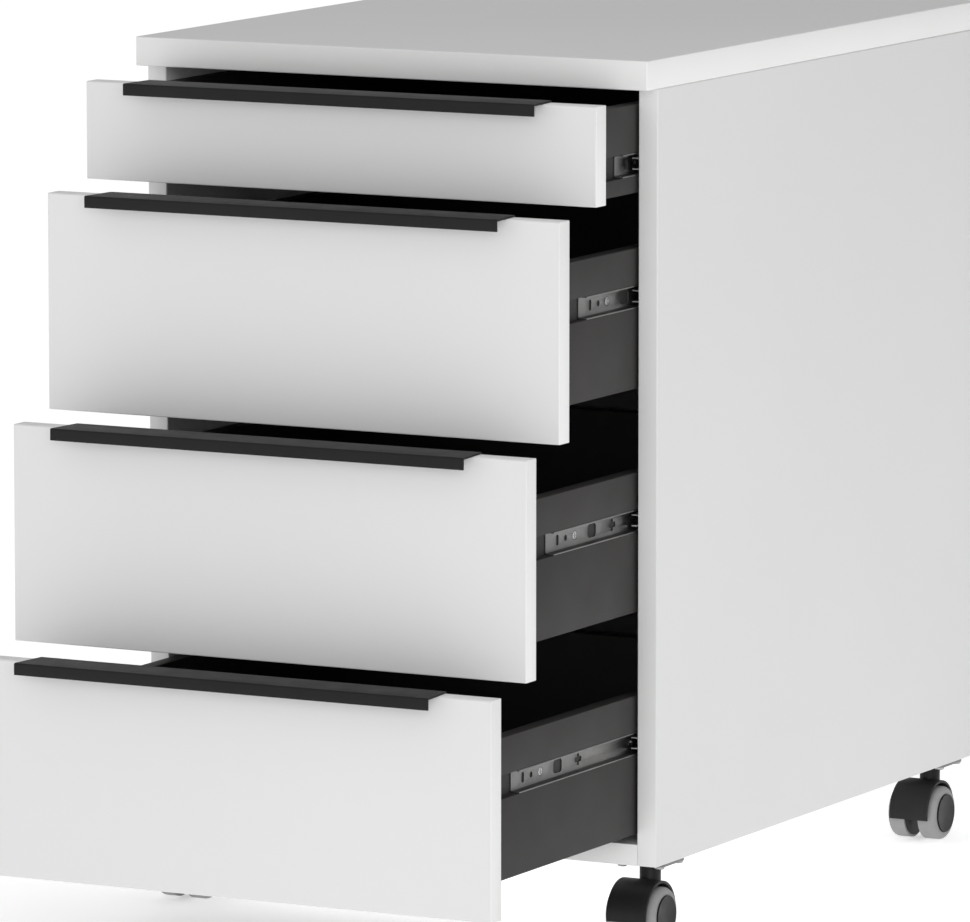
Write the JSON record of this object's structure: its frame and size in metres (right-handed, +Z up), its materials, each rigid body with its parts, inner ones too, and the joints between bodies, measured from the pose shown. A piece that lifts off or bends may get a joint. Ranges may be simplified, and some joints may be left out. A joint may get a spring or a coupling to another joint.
{
  "type": "rolling pedestal cabinet",
  "caption": "White rolling pedestal cabinet with a shallow and several deep drawers on ball-bearing runners, black edge pulls and twin-wheel casters.",
  "frame": {"origin": "on the floor, under the middle of the bounding box of the cabinet with its drawers at their stored openings", "axes": "+Z up through the top; +X to the right of a person facing the drawer fronts; +Y towards the back, so drawers open along -Y"},
  "size_m": [0.43, 0.8382, 0.66],
  "materials": {
    "white_board": "white melamine-faced board, fine satin",
    "white_front": "white laminated front with a thin edge band, satin",
    "anthracite_board": "dark grey foil-wrapped drawer board, satin",
    "black_pull": "black powder coat, fine texture",
    "zinc_steel": "bright zinc plated sheet steel",
    "ball_steel": "polished ball steel in a zinc cage",
    "fastener_steel": "zinc plated screws",
    "cam_zinc": "die-cast zinc",
    "beech_dowel": "plain beech",
    "black_nylon": "black moulded nylon",
    "grey_tread": "soft grey tread",
    "axle_steel": "turned steel"
  },
  "bodies": {
    "carcass": {"top_panel": "white_board", "side_panel_left": "white_board", "side_panel_right": "white_board", "bottom_panel": "white_board", "back_panel": "white_board", "cam_fittings": "cam_zinc", "dowels": "beech_dowel", "cabinet_runners_left": "zinc_steel", "cabinet_runners_right": "zinc_steel", "cabinet_runner_screws": "fastener_steel", "caster_plates": "zinc_steel", "caster_screws": "fastener_steel"},
    "drawer_1": {"drawer_1_front": "white_front", "drawer_1_pull": "black_pull", "drawer_1_side_walls": "anthracite_board", "drawer_1_back_wall": "anthracite_board", "drawer_1_floor": "anthracite_board", "drawer_1_runners": "zinc_steel", "drawer_1_fasteners": "fastener_steel"},
    "ball_cages_1": {"drawer_1_ball_cages": "ball_steel"},
    "drawer_2": {"drawer_2_front": "white_front", "drawer_2_pull": "black_pull", "drawer_2_side_walls": "anthracite_board", "drawer_2_back_wall": "anthracite_board", "drawer_2_floor": "anthracite_board", "drawer_2_runners": "zinc_steel", "drawer_2_fasteners": "fastener_steel"},
    "ball_cages_2": {"drawer_2_ball_cages": "ball_steel"},
    "drawer_3": {"drawer_3_front": "white_front", "drawer_3_pull": "black_pull", "drawer_3_side_walls": "anthracite_board", "drawer_3_back_wall": "anthracite_board", "drawer_3_floor": "anthracite_board", "drawer_3_runners": "zinc_steel", "drawer_3_fasteners": "fastener_steel"},
    "ball_cages_3": {"drawer_3_ball_cages": "ball_steel"},
    "drawer_4": {"drawer_4_front": "white_front", "drawer_4_pull": "black_pull", "drawer_4_side_walls": "anthracite_board", "drawer_4_back_wall": "anthracite_board", "drawer_4_floor": "anthracite_board", "drawer_4_runners": "zinc_steel", "drawer_4_fasteners": "fastener_steel"},
    "ball_cages_4": {"drawer_4_ball_cages": "ball_steel"},
    "caster_front_left": {"caster_front_left_housing": "black_nylon"},
    "wheels_front_left": {"caster_front_left_tyres": "grey_tread", "caster_front_left_hubs": "black_nylon", "caster_front_left_axle": "axle_steel"},
    "caster_front_right": {"caster_front_right_housing": "black_nylon"},
    "wheels_front_right": {"caster_front_right_tyres": "grey_tread", "caster_front_right_hubs": "black_nylon", "caster_front_right_axle": "axle_steel"},
    "caster_rear_left": {"caster_rear_left_housing": "black_nylon"},
    "wheels_rear_left": {"caster_rear_left_tyres": "grey_tread", "caster_rear_left_hubs": "black_nylon", "caster_rear_left_axle": "axle_steel"},
    "caster_rear_right": {"caster_rear_right_housing": "black_nylon"},
    "wheels_rear_right": {"caster_rear_right_tyres": "grey_tread", "caster_rear_right_hubs": "black_nylon", "caster_rear_right_axle": "axle_steel"}
  },
  "joints": [
    {"name": "drawer_1_slide", "type": "slide", "parent": "carcass", "child": "drawer_1", "axis": [0, -1, 0], "range_m": [-0.0775, 0.2725]},
    {"name": "ball_cages_1_slide", "type": "slide", "parent": "carcass", "child": "ball_cages_1", "axis": [0, -1, 0], "range_m": [-0.03875, 0.13625]},
    {"name": "drawer_2_slide", "type": "slide", "parent": "carcass", "child": "drawer_2", "axis": [0, -1, 0], "range_m": [-0.135, 0.215]},
    {"name": "ball_cages_2_slide", "type": "slide", "parent": "carcass", "child": "ball_cages_2", "axis": [0, -1, 0], "range_m": [-0.0675, 0.1075]},
    {"name": "drawer_3_slide", "type": "slide", "parent": "carcass", "child": "drawer_3", "axis": [0, -1, 0], "range_m": [-0.1865, 0.1635]},
    {"name": "ball_cages_3_slide", "type": "slide", "parent": "carcass", "child": "ball_cages_3", "axis": [0, -1, 0], "range_m": [-0.09325, 0.08175]},
    {"name": "drawer_4_slide", "type": "slide", "parent": "carcass", "child": "drawer_4", "axis": [0, -1, 0], "range_m": [-0.2405, 0.1095]},
    {"name": "ball_cages_4_slide", "type": "slide", "parent": "carcass", "child": "ball_cages_4", "axis": [0, -1, 0], "range_m": [-0.12025, 0.05475]},
    {"name": "caster_front_left_swivel", "type": "hinge", "parent": "carcass", "child": "caster_front_left", "pos_m": [-0.193, -0.10895, 0.05], "axis": [0, 0, 1], "continuous": true},
    {"name": "wheels_front_left_spin", "type": "hinge", "parent": "caster_front_left", "child": "wheels_front_left", "pos_m": [-0.193, -0.12395, 0.021], "axis": [1, 0, 0], "continuous": true},
    {"name": "caster_front_right_swivel", "type": "hinge", "parent": "carcass", "child": "caster_front_right", "pos_m": [0.193, -0.10895, 0.05], "axis": [0, 0, 1], "continuous": true},
    {"name": "wheels_front_right_spin", "type": "hinge", "parent": "caster_front_right", "child": "wheels_front_right", "pos_m": [0.193, -0.12395, 0.021], "axis": [1, 0, 0], "continuous": true},
    {"name": "caster_rear_left_swivel", "type": "hinge", "parent": "carcass", "child": "caster_rear_left", "pos_m": [-0.193, 0.38205, 0.05], "axis": [0, 0, 1], "continuous": true},
    {"name": "wheels_rear_left_spin", "type": "hinge", "parent": "caster_rear_left", "child": "wheels_rear_left", "pos_m": [-0.193, 0.36705, 0.021], "axis": [1, 0, 0], "continuous": true},
    {"name": "caster_rear_right_swivel", "type": "hinge", "parent": "carcass", "child": "caster_rear_right", "pos_m": [0.193, 0.38205, 0.05], "axis": [0, 0, 1], "continuous": true},
    {"name": "wheels_rear_right_spin", "type": "hinge", "parent": "caster_rear_right", "child": "wheels_rear_right", "pos_m": [0.193, 0.36705, 0.021], "axis": [1, 0, 0], "continuous": true}
  ],
  "couplings": [
    {"joint": "ball_cages_1_slide", "follows": "drawer_1_slide", "ratio": 0.5},
    {"joint": "ball_cages_2_slide", "follows": "drawer_2_slide", "ratio": 0.5},
    {"joint": "ball_cages_3_slide", "follows": "drawer_3_slide", "ratio": 0.5},
    {"joint": "ball_cages_4_slide", "follows": "drawer_4_slide", "ratio": 0.5}
  ]
}
